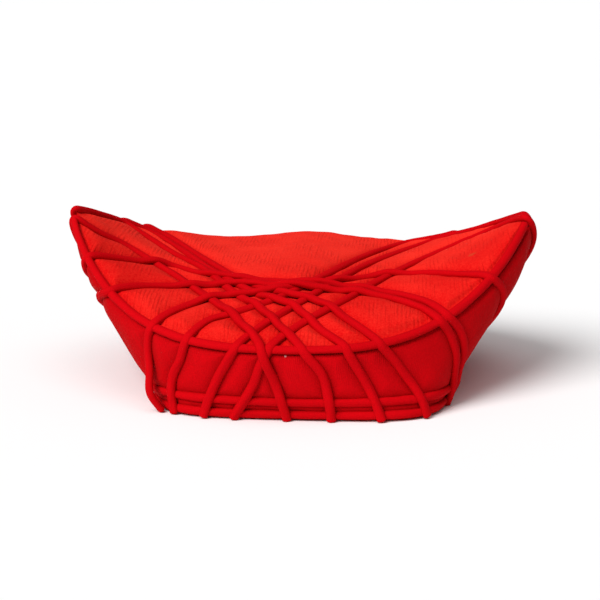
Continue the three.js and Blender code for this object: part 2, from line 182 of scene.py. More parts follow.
# Cord routes
# The cords are wound tight in a fixed order, each over the ones before: two rings round the wall, the
# piping along the front edge, then ten strands that climb the back, cross the deck and go down to the rim.
# Wall points are [place round the wall, share of its height] and deck points [share of the tip reach,
# share of the front or back reach]. "slack" is where the strand stands off the wall on its way down:
# its height there, the half height of the stretch, and how far off.
UPPER_RING_HEIGHT = 0.0115
LOWER_RING_HEIGHT = 0.0038
RING_END_GAP = 0.0005
PIPING_END = 0.985
FOOT_HEIGHT = 0.0006
SINKING_SHARE = 0.58
CROSSING_SHARE = 0.50
PIPING_SHARE = 0.36
WALK_STEP = 0.001
LINE_SAMPLES = 400
BEND_SPREAD = 0.005
HUMP_RADIUS = 0.020
EASE_REACH = 4
SOFTENING = 1.6
LOWEST_SHARE = 0.35
PIPING_WALL_LEVEL = 0.95
NO_SLACK = [0.02, 0.01, 0]
STRANDS = [
    {
        "name": "right_strand_1",
        "up": [[1.03, 0], [1.02, 0.40], [1.005, 0.75], [0.995, 1]],
        "deck": [
            [0.955, 0.075], [0.88, 0.20], [0.80, 0.265], [0.70, 0.285], [0.54, 0.15], [0.375, -0.16],
            [0.235, -0.49], [0.115, -0.72],
        ],
        "down": [[-0.05, 1], [-0.09, 0.77], [-0.145, 0.48], [-0.28, 0]],
    },
    {
        "name": "right_strand_2",
        "up": [[1.08, 0], [1.05, 0.40], [1.02, 0.75], [1.005, 1]],
        "deck": [
            [0.97, 0.12], [0.92, 0.26], [0.86, 0.38], [0.77, 0.51], [0.68, 0.60], [0.57, 0.60],
            [0.44, 0.45], [0.30, 0.15], [0.14, -0.33], [0.005, -0.65],
        ],
        "down": [[-0.18, 1], [-0.235, 0.75], [-0.31, 0.46], [-0.43, 0]],
    },
    {
        "name": "right_strand_3",
        "up": [[1.30, 0], [1.26, 0.45], [1.25, 0.80], [1.29, 1]],
        "deck": [
            [0.65, 0.665], [0.58, 0.72], [0.48, 0.735], [0.38, 0.61], [0.27, 0.34], [0.12, -0.14],
            [-0.035, -0.49], [-0.195, -0.67], [-0.315, -0.76],
        ],
        "down": [[-0.385, 1], [-0.43, 0.72], [-0.53, 0.40], [-0.61, 0]],
    },
    {
        "name": "left_strand_1",
        "up": [[-1.02, 0], [-1.01, 0.40], [-0.995, 0.75], [-0.985, 1]],
        "deck": [
            [-0.95, -0.10], [-0.88, -0.07], [-0.79, -0.02], [-0.68, -0.06], [-0.53, -0.21], [-0.35, -0.49],
            [-0.225, -0.71],
        ],
        "down": [[-0.08, 1], [-0.058, 0.80], [-0.044, 0.50], [-0.034, 0]],
    },
    {
        "name": "left_strand_2",
        "up": [[-1.06, 0], [-1.03, 0.40], [-1.01, 0.75], [-1, 1]],
        "deck": [
            [-0.97, 0.12], [-0.93, 0.23], [-0.88, 0.33], [-0.82, 0.375], [-0.70, 0.30], [-0.56, 0.15],
            [-0.42, -0.02], [-0.255, -0.40], [-0.11, -0.66], [-0.005, -0.87],
        ],
        "down": [[0.08, 1], [0.15, 0.70], [0.16, 0.35], [0.157, 0]],
    },
    {
        "name": "left_strand_3",
        "up": [[-1.20, 0], [-1.15, 0.45], [-1.13, 0.80], [-1.145, 1]],
        "deck": [
            [-0.82, 0.44], [-0.75, 0.475], [-0.67, 0.44], [-0.60, 0.36], [-0.51, 0.21], [-0.34, -0.12],
            [-0.125, -0.48], [0.02, -0.63], [0.125, -0.82],
        ],
        "down": [[0.25, 1], [0.29, 0.75], [0.33, 0.48], [0.395, 0]],
    },
    {
        "name": "left_strand_4",
        "up": [[-1.30, 0], [-1.24, 0.45], [-1.21, 0.80], [-1.235, 1]],
        "deck": [
            [-0.73, 0.555], [-0.66, 0.53], [-0.58, 0.43], [-0.42, 0.145], [-0.24, -0.20], [-0.06, -0.44],
            [0.12, -0.56], [0.265, -0.755],
        ],
        "down": [[0.38, 1], [0.44, 0.75], [0.50, 0.50], [0.66, 0]],
    },
    {
        "name": "right_cross_strand",
        "up": [[1.10, 0], [0.98, 0.35], [0.90, 0.68], [0.83, 1]],
        "deck": [
            [0.72, -0.33], [0.56, -0.14], [0.36, -0.10], [0.20, -0.21], [0.05, -0.35], [-0.13, -0.46],
            [-0.31, -0.50], [-0.455, -0.65],
        ],
        "down": [[-0.54, 1], [-0.57, 0.80], [-0.62, 0.50], [-0.68, 0]],
        "slack": [0.014, 0.012, 0.0060],
    },
    {
        "name": "left_cross_strand",
        "up": [[-1.20, 0], [-1.08, 0.40], [-0.94, 0.76], [-0.878, 1]],
        "deck": [
            [-0.715, -0.19], [-0.565, -0.07], [-0.375, -0.15], [-0.18, -0.23], [0.04, -0.29], [0.24, -0.32],
            [0.42, -0.40], [0.55, -0.53],
        ],
        "down": [[0.65, 1], [0.72, 0.7], [0.81, 0.4], [0.94, 0]],
    },
    {
        "name": "front_cross_strand",
        "up": [[-1.12, 0], [-1.02, 0.30], [-0.92, 0.60], [-0.75, 1]],
        "deck": [
            [-0.615, -0.45], [-0.445, -0.36], [-0.225, -0.31], [-0.025, -0.38], [0.20, -0.39], [0.38, -0.44],
            [0.53, -0.59],
        ],
        "down": [[0.62, 1], [0.68, 0.70], [0.75, 0.46], [0.88, 0]],
    },
]


def across_column(share):
    """Columns from tip to tip that stand closer together towards the tips: a sine of the share."""
    return np.sin(np.pi * (share - 0.5))


def round_column(share):
    """Columns all round the wall, closer together at both tips: a sine over each half of the round."""
    turn = 4 * share - 2
    back = np.sign(turn) * (2 - np.sin(np.pi * (2 - np.abs(turn)) / 2))
    return np.where(np.abs(turn) <= 1, np.sin(np.pi * turn / 2), back)


def smooth_line(points):
    """A line through a few points: a cubic between each two, with slopes from their neighbours."""
    points = np.array(points, float)
    last = len(points) - 1
    run = np.linspace(0, last, LINE_SAMPLES + 1)
    at = np.minimum(run.astype(int), last - 1)
    t = (run - at)[:, None]
    start, end = points[at], points[at + 1]
    leave = (end - points[np.maximum(at - 1, 0)]) / 2
    arrive = (points[np.minimum(at + 2, last)] - start) / 2
    cubic = (2 * start - 2 * end + leave + arrive) * t**3
    return cubic + (3 * end - 3 * start - 2 * leave - arrive) * t**2 + leave * t + start


def even_walk(places, outs, step=WALK_STEP):
    """The same walk at even steps of its length: (distances, places, ways out)."""
    runs = np.linalg.norm(np.diff(places, axis=0), axis=1)
    reached = np.concatenate([[0], np.cumsum(runs)])
    count = max(2, round(reached[-1] / step))
    at = np.linspace(0, reached[-1], count + 1)
    even = [np.stack([np.interp(at, reached, each[:, k]) for k in range(3)], -1) for each in (places, outs)]
    return at, even[0], unit(even[1])


def height_clear_of(places, clear, feet, ways):
    """How far along its way a ball at each foot has to be to touch, and not cut, a line of places. It is
    the height of a sphere of that reach over the nearest place, where the way passes within it."""
    to = places[None] - feet[:, None]
    up = (to * ways[:, None]).sum(-1)
    beside = (to * to).sum(-1) - up * up
    over = up + np.sqrt(np.maximum(clear * clear - beside, 0))
    return np.where((beside < clear * clear) & (up > -clear), over, 0).max(1)


def soften(values, spread):
    """A running bell-shaped average, with the two ends held."""
    reach = int(4 * spread) + 1
    bell = np.exp(-0.5 * (np.arange(-reach, reach + 1) / spread) ** 2)
    bell /= bell.sum()
    padded = np.concatenate([np.repeat(values[:1], reach, 0), values, np.repeat(values[-1:], reach, 0)])
    columns = [np.convolve(column, bell, "valid") for column in padded.reshape(len(padded), -1).T]
    made = np.stack(columns, -1).reshape(values.shape)
    made[0], made[-1] = values[0], values[-1]
    return made


def lay_cord(name, places, outs, diameter, laid, standing=None):
    """A cord laid along a walk. Its height over a crossed cord falls off on both sides as a parabola, and
    a running mean eases it. Where it stands off the wall the given heights are added."""
    radius = diameter / 2
    at, feet, out = even_walk(places, outs)
    apart = np.abs(at[:, None] - at[None])
    ways = unit(np.maximum(1 - apart / BEND_SPREAD, 0) @ out)
    needed = height_clear_of(feet, radius * SINKING_SHARE, feet, ways)
    for cord in laid:
        clear = (radius + cord["radius"]) * cord["firmness"]
        needed = np.maximum(needed, height_clear_of(cord["line"], clear, feet, ways))
    draped = (needed[None] - apart**2 / (2 * HUMP_RADIUS)).max(1)
    window = np.abs(np.arange(len(at))[:, None] - np.arange(len(at))[None]) <= EASE_REACH
    height = np.maximum(needed, (window * draped[None]).sum(1) / window.sum(1))
    if standing is not None:
        height = height + standing(feet)
    line = soften(feet + ways * height[:, None], SOFTENING)
    keep = line[:, 2] > radius * LOWEST_SHARE
    laid.append(
        {
            "name": name,
            "radius": radius,
            "line": line[keep],
            "firmness": CROSSING_SHARE,
            "ways": ways[keep],
            "feet": feet[keep],
            "spare": np.maximum(height - radius * SINKING_SHARE, 0)[keep],
        }
    )


def wall_walk(points):
    """A walk on the wall through a few points: (places, ways out)."""
    line = smooth_line(points)
    return wall_place(line[:, 0], line[:, 1]), wall_out(line[:, 0], line[:, 1])


def deck_walk(points):
    """A walk on the deck through a few points: (places, ways out)."""
    line = smooth_line(points)
    x = TIP_REACH * line[:, 0]
    y = line[:, 1] * np.where(line[:, 1] < 0, FRONT_REACH, BACK_REACH)
    return deck_place(x, y), deck_out(x, y)


def lifted(points):
    """Wall points with their feet raised clear of the floor."""
    across, front = split_round(np.array([point[0] for point in points]))
    foot = FOOT_HEIGHT / edge_height(across, front)
    return [[point[0], between(low, 1, point[1])] for point, low in zip(points, foot)]


def at_edge(point):
    """The deck point at the edge over a wall point."""
    across, front = split_round(np.array(point[0]))
    return [float(across), float(np.where(front, -1, 1) * edge_depth_share(across))]


laid_cords = []
for ring_name, ring_height in (
    ("lower_ring_cord", LOWER_RING_HEIGHT),
    ("upper_ring_cord", UPPER_RING_HEIGHT),
):
    ring = round_column(np.linspace(0, 1, LINE_SAMPLES + 1))
    ring_up = ring_height / edge_height(*split_round(ring))
    ring_places = wall_place(ring, ring_up)
    ring_places[0, 0] -= RING_END_GAP / 2
    ring_places[-1, 0] += RING_END_GAP / 2
    lay_cord(ring_name, ring_places, wall_out(ring, ring_up), RING_DIAMETER, laid_cords)

piping_across = across_column(np.linspace(0, 1, LINE_SAMPLES + 1)) * PIPING_END
piping_line = edge_place(piping_across, np.ones(LINE_SAMPLES + 1, bool))
piping_outs = wall_out(piping_across, np.full_like(piping_across, PIPING_WALL_LEVEL))
piping_outs = unit(piping_outs + np.array([0, 0, 1.0]))
_, piping_line, piping_outs = even_walk(piping_line, piping_outs)
laid_cords.append(
    {
        "name": "front_edge_cord",
        "radius": PIPING_DIAMETER / 2,
        "firmness": PIPING_SHARE,
        "line": piping_line,
        "ways": piping_outs,
        "feet": piping_line,
        "spare": np.zeros(len(piping_line)),
    }
)

for strand in STRANDS:
    over = [at_edge(strand["up"][-1]), *strand["deck"], at_edge(strand["down"][0])]
    walks = [wall_walk(lifted(strand["up"])), deck_walk(over), wall_walk(lifted(strand["down"]))]
    level, half_height, stand_off = strand.get("slack", NO_SLACK)
    is_right = strand["down"][0][0] > 0

    def standing(feet, level=level, half_height=half_height, stand_off=stand_off, is_right=is_right):
        """A bell of the height, on the side where the strand comes down."""
        near = np.exp(-(((feet[:, 2] - level) / half_height) ** 2))
        return stand_off * near * np.where((feet[:, 0] > 0) == is_right, 1, 0)

    walk_places = np.concatenate([places for places, outs in walks])
    walk_outs = np.concatenate([outs for places, outs in walks])
    lay_cord(strand["name"], walk_places, walk_outs, STRAND_DIAMETER, laid_cords, standing)


# Side wall
# Deep red cotton stretched round the stiff wall and folded in under the head rim, with a plain lining
# inside. The cords press it in, and it bulges a little between them.
WALL_THICKNESS = 0.003
DECK_THICKNESS = 0.0025
DECK_SEAT_GAP = 0.0006
TIP_FILLING = 0.014
FILLING_TAPER = 4
PIPING_SEAT = PIPING_DIAMETER / 2 + CAD_LAY_GAP
WALL_COLUMNS = 720
WALL_ROWS = 66
WALL_LINING_ROWS = 14
RIM_ROWS = 6
RIM_ROUNDING = 0.0012
CLOTH_LIFT = 0.0007
PANEL_BULGE = 0.0018
PANEL_REACH = 0.0072
CORD_PRESS = 0.0006
PRESS_REACH = 0.0030
# Distances from the cords over which the darker colour beside them, which is painted shade, gives way to the
# paler panel colour.
CORD_SHADE_REACH = (0.0018, 0.0080)
RIPPLE_HEIGHT = 0.00022
RIPPLE_RATES = (190, 60, 3, 70, 150, 95)
FINE_RIPPLE_HEIGHT = 0.00012
FINE_RIPPLE_RATES = (410, -300, 220)
RIM_FADE = 0.10
EDGE_FADE = 0.05
TIP_FADE = 0.06
WELD_REACH = 2e-5
CHUNK = 4000
feet_of_all = np.concatenate([cord["feet"] for cord in laid_cords])
spare_of_all = np.concatenate([cord["spare"] for cord in laid_cords])


def distance_to_cords(places):
    """Distance from each place to the nearest cord's foot, counting a cord that is lifted over others as
    further off by its lift."""
    shape = places.shape[:-1]
    flat = places.reshape(-1, 3)
    squares = (feet_of_all**2).sum(1) + spare_of_all**2
    found = [
        ((part**2).sum(1)[:, None] + squares[None] - 2 * part @ feet_of_all.T).min(1)
        for part in np.array_split(flat, max(1, len(flat) // CHUNK))
    ]
    return np.sqrt(np.maximum(np.concatenate(found), 0)).reshape(shape)


def cloth_relief(places, bulge):
    """Height of the cloth over its form: a bulge that grows with the squared distance from the cords as a
    bell falls, less a narrow bell under each cord, plus a small lift and two ripples, which are sines of
    the place with their rates in radians a metre."""
    distance = distance_to_cords(places)
    swell = bulge * (1 - np.exp(-((distance / PANEL_REACH) ** 2)))
    press = CORD_PRESS * np.exp(-((distance / PRESS_REACH) ** 2))
    x, y, z = places[..., 0], places[..., 1], places[..., 2]
    by_x, by_y, sway, sway_rate, up_rate, lean_rate = RIPPLE_RATES
    ripple = np.sin(by_x * x + by_y * y + sway * np.sin(sway_rate * y)) * np.sin(up_rate * z + lean_rate * x)
    by_x, by_y, by_z = FINE_RIPPLE_RATES
    ripple = RIPPLE_HEIGHT * ripple + FINE_RIPPLE_HEIGHT * np.sin(by_x * x + by_y * y + by_z * z)
    return CLOTH_LIFT + swell - press + ripple, distance


def fade(share, start, end):
    """0 before start and 1 after end, with a smooth cubic between."""
    t = np.clip((share - start) / (end - start), 0, 1)
    return t * t * (3 - 2 * t)


def wall_top_drop(round_wall):
    """How far under the edge the wall stops: under the deck, and along the front under the piping too."""
    across, front = split_round(round_wall)
    under_deck = DECK_THICKNESS + DECK_SEAT_GAP
    sheer = (TIP_HEIGHT - FRONT_HEIGHT) * FRONT_SHEER * np.abs(across) ** (FRONT_SHEER - 1) / TIP_REACH
    return np.where(front, np.maximum(under_deck, PIPING_SEAT * np.hypot(1, sheer)), under_deck)


def inner_wall_place(round_wall, up):
    """Places on the inside of the wall, which is thick in the tips where they are stuffed."""
    across, front = split_round(round_wall)
    reach = np.where(front, -(FRONT_REACH - WALL_THICKNESS), BACK_REACH - WALL_THICKNESS)
    x = (TIP_REACH - TIP_FILLING * np.abs(across) ** FILLING_TAPER) * across
    y = reach * edge_depth_share(across)
    top = np.stack([x, y, deck_height(x, y) - wall_top_drop(round_wall)], -1)
    return wall_rise(rim_place(round_wall, WALL_THICKNESS), top, up)


def signed_volume(places, quads):
    """Volume inside a closed net of quads, negative where they face inwards."""
    a, b, c, d = (places[quads[:, k]] for k in range(4))
    return (a * np.cross(b, c)).sum() + (a * np.cross(c, d)).sum()


def sewn_piece(name, places, uvs, masks):
    """A closed piece from a two-way net of places. Each four neighbours make a quad, the quads are turned
    to face outwards, and places that fall together are welded, which closes the seams and the tips."""
    columns, rows = places.shape[0], places.shape[1]
    number = np.arange(columns * rows).reshape(columns, rows)
    quads = np.stack([number[:-1, :-1], number[1:, :-1], number[1:, 1:], number[:-1, 1:]], -1).reshape(-1, 4)
    flat = places.reshape(-1, 3) + MIDDLE_SHIFT
    if signed_volume(flat, quads) < 0:
        quads = quads[:, ::-1]
    mesh = bpy.data.meshes.new(name)
    mesh.from_pydata(flat, [], quads)
    layer = mesh.uv_layers.new(name="cloth")
    layer.data.foreach_set("uv", uvs.reshape(-1, 2)[quads.ravel()].astype(np.float32).ravel())
    for mask_name, values in masks.items():
        mask = mesh.attributes.new(mask_name, "FLOAT", "POINT")
        mask.data.foreach_set("value", values.astype(np.float32).ravel())
    sewing = bmesh.new()
    sewing.from_mesh(mesh)
    bmesh.ops.remove_doubles(sewing, verts=sewing.verts, dist=WELD_REACH)
    sewing.to_mesh(mesh)
    sewing.free()
    mesh.polygons.foreach_set("use_smooth", np.ones(len(mesh.polygons), bool))
    piece = bpy.data.objects.new(name, mesh)
    bpy.context.scene.collection.objects.link(piece)
    return piece


wall_round = round_column(np.linspace(0, 1, WALL_COLUMNS + 1))[:, None]
wall_across, wall_front = split_round(wall_round)
wall_edge = edge_height(wall_across, wall_front)
wall_top = 1 - wall_top_drop(wall_round) / wall_edge
wall_up = np.linspace(0, 1, WALL_ROWS + 1)[None]
wall_level = between(RIM_ROUNDING / wall_edge, wall_top, wall_up)
wall_rounds = np.broadcast_to(wall_round, wall_level.shape)
outer_wall = wall_place(wall_rounds, wall_level)
wall_relief, wall_distance = cloth_relief(outer_wall, PANEL_BULGE)
wall_seat = fade(wall_up, 0, RIM_FADE) * fade(1 - wall_up, 0, EDGE_FADE)
wall_seat = wall_seat * fade(1 - np.abs(wall_across), 0, TIP_FADE)
outer_wall = outer_wall + wall_out(wall_rounds, wall_level) * (wall_relief * wall_seat)[..., None]

lining_up = np.linspace(1, 0, WALL_LINING_ROWS + 1)[None]
lining_level = between(RIM_ROUNDING / wall_edge, 1, lining_up)
lining_rounds = np.broadcast_to(wall_round, lining_level.shape)
inner_wall = inner_wall_place(lining_rounds, lining_level)

rim_turn = np.linspace(0, 1, RIM_ROWS + 1)[None, 1:, None]
rim_fold = between(inner_wall[:, -1:], outer_wall[:, :1], rim_turn)
rim_fold[..., 2] = RIM_ROUNDING * (1 - np.sin(np.pi * rim_turn[..., 0]))

wall_net = np.concatenate([outer_wall, inner_wall, rim_fold], 1)
wall_steps = np.linalg.norm(np.diff(outer_wall[:, WALL_ROWS // 2], axis=0), axis=1)
wall_length = np.concatenate([[0], np.cumsum(wall_steps)])
wall_rows_run = np.linalg.norm(np.diff(wall_net, axis=1), axis=-1)
wall_run = np.concatenate([np.zeros((len(wall_net), 1)), np.cumsum(wall_rows_run, 1)], 1)
wall_uv = np.stack([np.broadcast_to(wall_length[:, None], wall_run.shape), wall_run], -1)
# Paler away from the cords and darker towards the tips: the darkness beside the cords and on the side walls
# is painted shade, with some wear on the open panels.
wall_wear_and_shade = fade(wall_distance, *CORD_SHADE_REACH) * (1 - np.abs(wall_across) ** 2)
wall_wear_and_shade = np.concatenate([wall_wear_and_shade, np.zeros(wall_net[:, WALL_ROWS + 1 :].shape[:2])], 1)
wall_cloth = sewn_piece("wall_cloth", wall_net, wall_uv, {"wear_and_shade": wall_wear_and_shade})


def wire(tree, target, value):
    """Links a socket to the target, or sets the target's own value."""
    if isinstance(value, bpy.types.NodeSocket):
        tree.links.new(value, target)
    else:
        target.default_value = value


def add_node(tree, kind, inputs=None, **settings):
    """A shader node with its settings and inputs."""
    made = tree.nodes.new(kind)
    for key, value in settings.items():
        setattr(made, key, value)
    for key, value in (inputs or {}).items():
        wire(tree, made.inputs[key], value)
    return made


def maths(tree, operation, *values):
    """One sum, product or other operation on values or sockets."""
    return add_node(tree, "ShaderNodeMath", dict(enumerate(values)), operation=operation).outputs[0]


def blend_colours(tree, share, first, second, way="MIX"):
    """A blend of two colours."""
    inputs = {0: share, 6: first, 7: second}
    return add_node(tree, "ShaderNodeMix", inputs, data_type="RGBA", blend_type=way).outputs[2]


def cloudy(tree, place, scale, detail=2.0, roughness=0.5):
    """Soft clouds from 0 to 1."""
    inputs = {"Vector": place, "Scale": scale, "Detail": detail, "Roughness": roughness}
    return add_node(tree, "ShaderNodeTexNoise", inputs).outputs[0]


def spread(tree, value, low, high):
    """0 below low and 1 above high, with a smooth step between."""
    inputs = {"Value": value, "From Min": low, "From Max": high}
    return add_node(tree, "ShaderNodeMapRange", inputs, interpolation_type="SMOOTHSTEP").outputs[0]


def new_group(name, takes, gives):
    """An empty node group with the given sockets: (group, what it takes, what it gives)."""
    group = bpy.data.node_groups.new(name, "ShaderNodeTree")
    for label, kind in takes.items():
        group.interface.new_socket(label, in_out="INPUT", socket_type=kind)
    for label, kind in gives.items():
        group.interface.new_socket(label, in_out="OUTPUT", socket_type=kind)
    return group, group.nodes.new("NodeGroupInput").outputs, group.nodes.new("NodeGroupOutput").inputs


def use_group(tree, group, inputs):
    """A node group in a material: its outputs."""
    made = tree.nodes.new("ShaderNodeGroup")
    made.node_tree = group
    for key, value in inputs.items():
        wire(tree, made.inputs[key], value)
    return made.outputs


# Plain weave: each thread is half a sine wave across. The upright threads stand up as ribs in soft patches,
# broken here and there along their length, and the cross threads hardly show.
THREAD_WANDER = 130.0
THREAD_SWAY = (0.5, 0.8)
RIB_PATCHES = 34.0
RIB_BREAKS = 380.0
RIB_BREAK_LENGTH = (1.0, 0.22, 1.0)
RIB_SHARE = 0.95
PICK_SHARE = 0.05
weave, takes, gives = new_group(
    "plain_weave",
    {"Place": "NodeSocketVector", "Threads across": "NodeSocketFloat", "Threads along": "NodeSocketFloat"},
    {"Height": "NodeSocketFloat", "Gap": "NodeSocketFloat"},
)
wander = maths(weave, "SUBTRACT", cloudy(weave, takes["Place"], THREAD_WANDER, 1.0), 0.5)
parts = add_node(weave, "ShaderNodeSeparateXYZ", {0: takes["Place"]}).outputs
sway_x, sway_y = (maths(weave, "MULTIPLY", wander, amount) for amount in THREAD_SWAY)
thread_x = maths(weave, "MULTIPLY_ADD", parts["X"], takes["Threads across"], sway_x)
thread_y = maths(weave, "MULTIPLY_ADD", parts["Y"], takes["Threads along"], sway_y)
wave_x = maths(weave, "SINE", maths(weave, "MULTIPLY", thread_x, math.pi))
wave_y = maths(weave, "SINE", maths(weave, "MULTIPLY", thread_y, math.pi))
patches = spread(weave, cloudy(weave, takes["Place"], RIB_PATCHES, 1.0), 0.35, 0.65)
stretch = {0: takes["Place"], 1: RIB_BREAK_LENGTH}
drawn_out = add_node(weave, "ShaderNodeVectorMath", stretch, operation="MULTIPLY").outputs[0]
breaks = spread(weave, cloudy(weave, drawn_out, RIB_BREAKS, 1.0), 0.36, 0.58)
patches = maths(weave, "MULTIPLY", patches, breaks)
ribs = maths(weave, "MULTIPLY", maths(weave, "ABSOLUTE", wave_x), patches)
picks = maths(weave, "ABSOLUTE", wave_y)
tall_ribs = maths(weave, "MULTIPLY", ribs, RIB_SHARE)
wire(weave, gives["Height"], maths(weave, "MULTIPLY_ADD", picks, PICK_SHARE, tall_ribs))
between_ribs = maths(weave, "SUBTRACT", 1.0, spread(weave, maths(weave, "ABSOLUTE", wave_x), 0.0, 0.7))
rib_gap = maths(weave, "MULTIPLY", between_ribs, patches)
pick_gap = maths(weave, "SUBTRACT", 1.0, spread(weave, picks, 0.0, 0.5))
wire(weave, gives["Gap"], maths(weave, "MULTIPLY_ADD", pick_gap, PICK_SHARE, rib_gap))

# Dyed cotton: the dye is cloudy, and worn places are paler and warmer. The wear share it takes also carries
# painted light: paler where panels and crests are lit, darker as painted shade beside the cords. The gaps
# between threads are darkened as painted shade.
DYE_CLOUDS = 26.0
FLECKS = 900.0
CLOUD_SHARE = 0.22
WEAR_AND_SHADE_SHARE = 0.65
FLECK_SHARE = 1.1
GAP_SHADE_SHARE = 0.42
tone, takes, gives = new_group(
    "dyed_cotton",
    {
        "Place": "NodeSocketVector",
        "Dye": "NodeSocketColor",
        "Worn and lit": "NodeSocketColor",
        "Gap shade": "NodeSocketColor",
        "Wear and shade": "NodeSocketFloat",
        "Gap": "NodeSocketFloat",
    },
    {"Colour": "NodeSocketColor", "Roughness": "NodeSocketFloat", "Fuzz": "NodeSocketFloat"},
)
clouds = spread(tone, cloudy(tone, takes["Place"], DYE_CLOUDS, 3.0, 0.6), 0.35, 0.7)
flecks = cloudy(tone, takes["Place"], FLECKS, 2.0, 0.7)
# The paler share: wear and painted light from the mask, with cloudy dye and flecks.
worn_and_lit_share = maths(tone, "MULTIPLY", takes["Wear and shade"], WEAR_AND_SHADE_SHARE)
worn_and_lit_share = maths(tone, "MULTIPLY_ADD", clouds, CLOUD_SHARE, worn_and_lit_share)
worn_and_lit_share = maths(tone, "MULTIPLY_ADD", maths(tone, "SUBTRACT", flecks, 0.5), FLECK_SHARE, worn_and_lit_share)
clamped = add_node(tone, "ShaderNodeClamp", {0: worn_and_lit_share}).outputs[0]
dyed = blend_colours(tone, clamped, takes["Dye"], takes["Worn and lit"])
# Painted shade in the gaps between threads.
gap_shade_share = maths(tone, "MULTIPLY", takes["Gap"], GAP_SHADE_SHARE)
wire(tone, gives["Colour"], blend_colours(tone, gap_shade_share, dyed, takes["Gap shade"]))
wire(tone, gives["Roughness"], maths(tone, "MULTIPLY_ADD", flecks, 0.16, 0.74))
wire(tone, gives["Fuzz"], flecks)

# A small mark at one place, with a ragged outline.
mark, takes, gives = new_group(
    "small_mark",
    {"Place": "NodeSocketVector", "Middle": "NodeSocketVector", "Reach": "NodeSocketFloat"},
    {"Mask": "NodeSocketFloat"},
)
away = add_node(mark, "ShaderNodeVectorMath", {0: takes["Place"], 1: takes["Middle"]}, operation="DISTANCE")
ragged = maths(mark, "MULTIPLY_ADD", cloudy(mark, takes["Place"], 420.0, 2.0), 1.3, 0.35)
share = maths(mark, "DIVIDE", away.outputs["Value"], maths(mark, "MULTIPLY", takes["Reach"], ragged))
wire(mark, gives["Mask"], maths(mark, "SUBTRACT", 1.0, spread(mark, share, 0.55, 1.0)))

LINT = (0.95, 0.55, 0.55, 1)
STAIN = (0.33, 0.10, 0.03, 1)
INK = (0.18, 0.02, 0.20, 1)


def marked(tree, place, colour, marks):
    """The colour with small marks on it, each with its middle, reach, strength and colour."""
    for middle, reach, strength, mark_colour in marks:
        mask = use_group(tree, mark, {"Place": place, "Middle": middle, "Reach": reach})["Mask"]
        colour = blend_colours(tree, maths(tree, "MULTIPLY", mask, strength), colour, mark_colour)
    return colour


def stretched_cotton(name, dye, worn_and_lit, gap_shade, threads, weave_depth, marks):
    """Matt plain-weave cotton over stiff lining, a little paler on the panels than beside the cords, where
    the darker colour is painted shade.
    """
    material = bpy.data.materials.new(name)
    material.use_nodes = True
    tree = material.node_tree
    shader = tree.nodes["Principled BSDF"]
    place = add_node(tree, "ShaderNodeTexCoord").outputs["Object"]
    uv = add_node(tree, "ShaderNodeUVMap", uv_map="cloth").outputs[0]
    # The wear share here also carries painted light and shade, made where the cloth is built.
    wear_and_shade = add_node(tree, "ShaderNodeAttribute", attribute_name="wear_and_shade").outputs["Fac"]
    across, along = threads
    threaded = use_group(tree, weave, {"Place": uv, "Threads across": across, "Threads along": along})
    inputs = {"Place": place, "Dye": dye, "Worn and lit": worn_and_lit, "Gap shade": gap_shade, "Wear and shade": wear_and_shade, "Gap": threaded["Gap"]}
    cotton = use_group(tree, tone, inputs)
    wire(tree, shader.inputs["Base Color"], marked(tree, place, cotton["Colour"], marks))
    wire(tree, shader.inputs["Roughness"], cotton["Roughness"])
    slubs = cloudy(tree, place, 160.0, 3.0, 0.6)
    surface = maths(tree, "MULTIPLY_ADD", slubs, 0.8, threaded["Height"])
    surface = maths(tree, "MULTIPLY_ADD", cotton["Fuzz"], 0.35, surface)
    bump = add_node(tree, "ShaderNodeBump", {"Height": surface, "Strength": 0.7, "Distance": weave_depth})
    wire(tree, shader.inputs["Normal"], bump.outputs["Normal"])
    shader.inputs["Specular IOR Level"].default_value = 0.03
    shader.inputs["Sheen Weight"].default_value = 0.05
    shader.inputs["Sheen Roughness"].default_value = 0.5
    shader.inputs["Sheen Tint"].default_value = (1.0, 0.12, 0.08, 1)
    return material


# The dye, the paler colour for worn and lit panels, and the painted shade for the gaps between threads.
WALL_DYE = (0.41, 0.0004, 0.0022, 1)
WALL_WORN_AND_LIT = (0.60, 0.0008, 0.004, 1)
WALL_GAP_SHADE = (0.36, 0.002, 0.005, 1)
WALL_THREADS = (900.0, 900.0)
WALL_WEAVE_DEPTH = 0.0002
WALL_MARKS = [
    ((-0.0174, -0.1065, 0.0325), 0.0008, 0.5, LINT),
    ((0.0021, -0.1090, 0.0391), 0.0009, 0.5, LINT),
]
wall_cotton = stretched_cotton(
    "wall_cotton", WALL_DYE, WALL_WORN_AND_LIT, WALL_GAP_SHADE, WALL_THREADS, WALL_WEAVE_DEPTH, WALL_MARKS
)
wall_cloth.data.materials.append(wall_cotton)
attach(wall_cloth, "root")
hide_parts("side_wall")

# Crown deck
# Coarser orange-red cotton stretched over the top in one piece. It is folded under along the back edge and
# turned down behind the piping in front, and the crossing cords quilt it into soft panels.
DECK_COLUMNS = 330
DECK_ROWS = 230
DECK_FOLD_ROWS = 6
DECK_UNDER_ROWS = 24
PIPING_MARGIN = 1.1 * PIPING_SEAT
DECK_BULGE = 0.0034
FOLD_SHARE = 0.25
BACK_FADE = 0.05
FRONT_FADE = 0.03
DECK_TIP_FADE = 0.25
# How much of the paler colour is left towards the front of the deck, and over which share of the way forward
# it falls.
FRONT_PALE_SHARE = 0.35
FRONT_PALE_SPAN = (0.35, 0.75)

